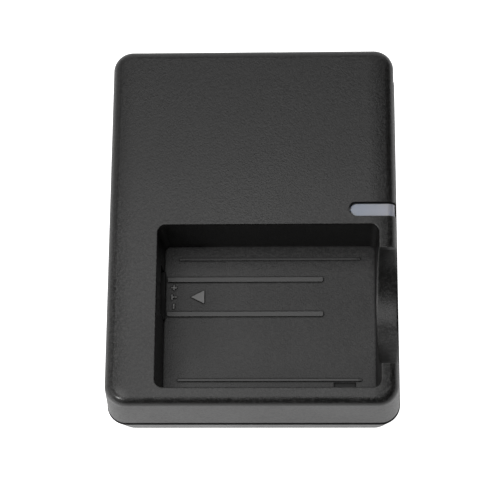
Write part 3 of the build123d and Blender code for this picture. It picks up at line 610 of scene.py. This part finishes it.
def follow(tree, value, points):
    """A value that runs straight from point to point."""
    made = put(tree, "ShaderNodeFloatCurve", Value=value)
    curve = made.mapping.curves[0]
    while len(curve.points) < len(points):
        curve.points.new(0.5, 0.5)
    for spot, (x, y) in zip(curve.points, points):
        spot.location = (x, y)
        spot.handle_type = "VECTOR"
    made.mapping.update()
    return made.outputs["Value"]


def finished(tree, geometry, finish, sharp=0.6):
    """Instances made real, smooth but for sharp edges, with their finish."""
    real = put(tree, "GeometryNodeRealizeInstances", Geometry=geometry)
    smooth = put(tree, "GeometryNodeSetShadeSmooth", Geometry=real.outputs["Geometry"])
    angle = put(tree, "GeometryNodeInputMeshEdgeAngle").outputs["Unsigned Angle"]
    crisp = put(tree, "GeometryNodeSetShadeSmooth", {"domain": "EDGE"}, Geometry=smooth.outputs["Geometry"])
    feed(tree, crisp.inputs["Selection"], sums(tree, "GREATER_THAN", angle, sharp))
    crisp.inputs["Shade Smooth"].default_value = False
    coated = put(tree, "GeometryNodeSetMaterial", Geometry=crisp.outputs["Geometry"], Material=finish)
    return coated.outputs["Geometry"]


def grown(name, points, tree, values):
    """A plain mesh object from points and a geometry tree with its inputs set."""
    mesh = bpy.data.meshes.new(name)
    mesh.from_pydata(points, [], [])
    thing = bpy.data.objects.new(name, mesh)
    bpy.context.scene.collection.objects.link(thing)
    modifier = thing.modifiers.new(name, "NODES")
    modifier.node_group = tree
    for item in tree.interface.items_tree:
        if item.in_out == "INPUT" and item.name in values:
            modifier[item.identifier] = values[item.name]
    bpy.context.view_layer.update()
    seen = thing.evaluated_get(bpy.context.evaluated_depsgraph_get())
    plain = bpy.data.meshes.new_from_object(seen)
    thing.modifiers.clear()
    thing.data = plain
    return thing


def screws():
    """Self-tapping screws with domed heads, cross recesses and rolled threads."""
    tree, given, made = named_tree(
        "screws on points",
        [
            ("Pitch", "NodeSocketFloat"),
            ("Thread depth", "NodeSocketFloat"),
            ("Recess width", "NodeSocketFloat"),
            ("Seed", "NodeSocketInt"),
            ("Finish", "NodeSocketMaterial"),
        ],
    )
    rows = screw_profile[-1][0]
    widest = max(radius for _, radius, _ in screw_profile)
    low, high = screw_profile[0][2], screw_profile[-1][2]
    grid = put(tree, "GeometryNodeMeshGrid", Size_X=1.0, Size_Y=1.0, Vertices_X=29, Vertices_Y=rows + 1)
    position = put(tree, "GeometryNodeInputPosition").outputs["Position"]
    place = put(tree, "ShaderNodeSeparateXYZ", Vector=position)
    round_share = sums(tree, "ADD", place.outputs["X"], 0.5)
    along = sums(tree, "ADD", place.outputs["Y"], 0.5)
    radius = follow(tree, along, [(row / rows, r / widest) for row, r, _ in screw_profile])
    radius = sums(tree, "MULTIPLY", radius, widest * mm)
    height = follow(tree, along, [(row / rows, (z - low) / (high - low)) for row, _, z in screw_profile])
    height = sums(tree, "MULTIPLY_ADD", height, (high - low) * mm, low * mm)
    climb = sums(tree, "DIVIDE", height, given["Pitch"])
    turn = sums(tree, "FRACT", sums(tree, "SUBTRACT", climb, round_share))
    tooth = sums(tree, "MULTIPLY", sums(tree, "PINGPONG", turn, 0.5), 2.0)
    rise, full, fall, gone = (row / rows for row in thread_rows)
    shank = ramp(tree, along, 0.0, 1.0, rise, full)
    shank = sums(tree, "MULTIPLY", shank, ramp(tree, along, 1.0, 0.0, fall, gone))
    thread = sums(tree, "MULTIPLY", sums(tree, "MULTIPLY", tooth, shank), given["Thread depth"])
    radius = sums(tree, "ADD", radius, thread)
    angle = sums(tree, "MULTIPLY", round_share, 2 * pi)
    spot = put(
        tree,
        "ShaderNodeCombineXYZ",
        X=sums(tree, "MULTIPLY", radius, sums(tree, "COSINE", angle)),
        Y=sums(tree, "MULTIPLY", radius, sums(tree, "SINE", angle)),
        Z=height,
    )
    flat, spots = grid.outputs["Mesh"], spot.outputs["Vector"]
    turned = put(tree, "GeometryNodeSetPosition", Geometry=flat, Position=spots).outputs["Geometry"]
    closed = put(tree, "GeometryNodeMergeByDistance", Geometry=turned, Distance=0.002 * mm)
    cut = put(tree, "GeometryNodeMeshBoolean", {"operation": "DIFFERENCE"})
    feed(tree, cut.inputs["Mesh 1"], closed.outputs["Geometry"])
    for quarter in (0.0, pi / 2):
        size = put(tree, "ShaderNodeCombineXYZ", X=2.5 * mm, Y=given["Recess width"], Z=1.6 * mm)
        bar = put(tree, "GeometryNodeMeshCube", Size=size.outputs["Vector"])
        moved = put(tree, "GeometryNodeTransform", Geometry=bar.outputs["Mesh"])
        moved.inputs["Translation"].default_value = (0.0, 0.0, low * mm)
        moved.inputs["Rotation"].default_value = (0.0, 0.0, quarter)
        tree.links.new(moved.outputs["Geometry"], cut.inputs["Mesh 2"])
    random = put(tree, "FunctionNodeRandomValue", {"data_type": "FLOAT"}, Seed=given["Seed"])
    random.inputs[3].default_value = pi
    spin = put(tree, "ShaderNodeCombineXYZ", Z=random.outputs[1])
    many = put(
        tree,
        "GeometryNodeInstanceOnPoints",
        Points=given["Geometry"],
        Instance=cut.outputs["Mesh"],
        Rotation=spin.outputs["Vector"],
    )
    feed(tree, made["Geometry"], finished(tree, many.outputs["Instances"], given["Finish"]))
    points = [(x * mm, y * mm, screw_seat) for x, y in screw_spots]
    values = {
        "Pitch": 0.85 * mm,
        "Thread depth": 0.26 * mm,
        "Recess width": 0.62 * mm,
        "Seed": 7,
        "Finish": finishes["case_screws"],
    }
    thing = grown("cross_screws", points, tree, values)
    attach(thing, "root")
    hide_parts("case_screws")


def choke_turns():
    """Turns of enamelled wire round each half of the choke's ring, with their leads."""
    low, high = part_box("choke_core")
    tree, given, made = named_tree(
        "wire turns on a ring",
        [
            ("Turns", "NodeSocketInt"),
            ("Wire radius", "NodeSocketFloat"),
            ("Finish", "NodeSocketMaterial"),
        ],
    )
    loop = put(tree, "GeometryNodeCurvePrimitiveQuadrilateral", Width=3.55 * mm, Height=5.35 * mm)
    rounded = put(tree, "GeometryNodeFilletCurve", Curve=loop.outputs["Curve"], Radius=0.5 * mm)
    section = put(tree, "GeometryNodeCurvePrimitiveCircle", Resolution=8, Radius=given["Wire radius"])
    wire = put(tree, "GeometryNodeCurveToMesh", Curve=rounded.outputs["Curve"])
    feed(tree, wire.inputs["Profile Curve"], section.outputs["Curve"])
    upright = put(tree, "GeometryNodeTransform", Geometry=wire.outputs["Mesh"])
    upright.inputs["Rotation"].default_value = (pi / 2, 0.0, 0.0)
    joined = put(tree, "GeometryNodeJoinGeometry")
    for middle in (0.0, 180.0):
        index = put(tree, "GeometryNodeInputIndex").outputs["Index"]
        share = sums(tree, "DIVIDE", index, sums(tree, "SUBTRACT", given["Turns"], 1.0))
        turn = sums(tree, "MULTIPLY_ADD", share, radians(turn_arc), radians(middle - turn_arc / 2))
        spot = put(
            tree,
            "ShaderNodeCombineXYZ",
            X=sums(tree, "MULTIPLY", sums(tree, "COSINE", turn), ring_radius * mm),
            Y=sums(tree, "MULTIPLY", sums(tree, "SINE", turn), ring_radius * mm),
        )
        row = put(tree, "GeometryNodePoints", Count=given["Turns"], Position=spot.outputs["Vector"])
        spin = put(tree, "ShaderNodeCombineXYZ", Z=turn)
        many = put(
            tree,
            "GeometryNodeInstanceOnPoints",
            Points=row.outputs[0],
            Instance=upright.outputs["Geometry"],
            Rotation=spin.outputs["Vector"],
        )
        tree.links.new(many.outputs["Instances"], joined.inputs["Geometry"])
    middle = [(least + most) / 2 for least, most in zip(low, high)]
    moved = put(tree, "GeometryNodeTransform", Geometry=joined.outputs["Geometry"], Translation=middle)
    bottom, top = board_bottom - 1.2 * mm, board_top + 0.4 * mm
    pin = put(tree, "GeometryNodeMeshCylinder", Vertices=12, Radius=0.3 * mm, Depth=top - bottom)
    pins = put(tree, "GeometryNodeInstanceOnPoints", Points=given["Geometry"], Instance=pin.outputs["Mesh"])
    whole = put(tree, "GeometryNodeJoinGeometry")
    for part in (moved.outputs["Geometry"], pins.outputs["Instances"]):
        tree.links.new(part, whole.inputs["Geometry"])
    feed(tree, made["Geometry"], finished(tree, whole.outputs["Geometry"], given["Finish"]))
    reach = 2.9 * mm
    points = [
        (middle[0] + across * reach, middle[1] + along * reach, (bottom + top) / 2)
        for across in (-1, 1)
        for along in (-1, 1)
    ]
    values = {"Turns": turn_count, "Wire radius": 0.2 * mm, "Finish": finishes["choke_windings"]}
    thing = grown("choke_turns", points, tree, values)
    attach(thing, "root")
    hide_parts("choke_windings")


screws()
choke_turns()


# Studio: a pale floor, soft lights and the camera at the photograph's angle

def floor():
    """Plain white floor."""
    made = bpy.data.meshes.new("floor")
    half = 3.0
    corners = [(-half, -half, 0), (half, -half, 0), (half, half, 0), (-half, half, 0)]
    made.from_pydata(corners, [], [(0, 1, 2, 3)])
    thing = bpy.data.objects.new("floor", made)
    thing.location.z = -0.00005
    bpy.context.scene.collection.objects.link(thing)
    finish = bpy.data.materials.new("white floor")
    finish.use_nodes = True
    tree = finish.node_tree
    shader = tree.nodes["Principled BSDF"]
    shader.inputs["Base Color"].default_value = (0.8, 0.8, 0.8, 1.0)
    shader.inputs["Roughness"].default_value = 0.8
    shader.inputs["Emission Color"].default_value = (1.0, 1.0, 1.0, 1.0)
    seen = put(tree, "ShaderNodeLightPath").outputs["Is Camera Ray"]
    feed(tree, shader.inputs["Emission Strength"], ramp(tree, seen, 0.55, 1.2))
    made.materials.append(finish)


def soft_light(name, place, aim, size, power, colour=(1.0, 1.0, 1.0)):
    """A square soft light that looks at a point."""
    data = bpy.data.lights.new(name, "AREA")
    data.shape = "RECTANGLE"
    data.size, data.size_y = size
    data.energy = power
    data.color = colour
    thing = bpy.data.objects.new(name, data)
    thing.location = place
    thing.rotation_euler = (Vector(aim) - Vector(place)).to_track_quat("-Z", "Y").to_euler()
    bpy.context.scene.collection.objects.link(thing)


def camera():
    """The photograph's camera, from a fit of the case's corners."""
    data = bpy.data.cameras.new("camera")
    data.sensor_width = 36.0
    data.lens = 126.906
    data.clip_start = 0.01
    thing = bpy.data.objects.new("camera", data)
    turn = Matrix.Rotation(radians(16.826), 4, "X") @ Matrix.Rotation(radians(1.998), 4, "Y")
    turn = turn @ Matrix.Rotation(radians(-0.241), 4, "Z")
    thing.matrix_world = Matrix.Translation((0.01344, -0.121875, 0.406734)) @ turn
    bpy.context.scene.collection.objects.link(thing)
    bpy.context.scene.camera = thing


def surroundings(strength):
    """Dim light from all round, with a white backdrop for the camera."""
    world = bpy.data.worlds.new("studio")
    world.use_nodes = True
    tree = world.node_tree
    back = tree.nodes["Background"]
    seen = put(tree, "ShaderNodeLightPath").outputs["Is Camera Ray"]
    feed(tree, back.inputs["Strength"], ramp(tree, seen, strength, 1.0))
    bpy.context.scene.world = world


floor()
soft_light("overhead", (-0.07, 0.03, 0.60), (-0.07, 0.03, 0.0), (0.42, 0.44), 1.3)
soft_light("key", (-0.46, -0.37, 0.60), (-0.02, -0.03, 0.02), (0.24, 0.24), 1.8)
soft_light("back panel", (0.0, 0.90, 0.45), (0.0, 0.0, 0.02), (1.6, 0.8), 4.0)
soft_light("left panel", (-0.90, 0.10, 0.42), (0.0, 0.0, 0.02), (1.2, 0.7), 1.7)
surroundings(0.04)
camera()
bpy.context.scene.view_settings.view_transform = "Standard"

bpy.context.view_layer.update()
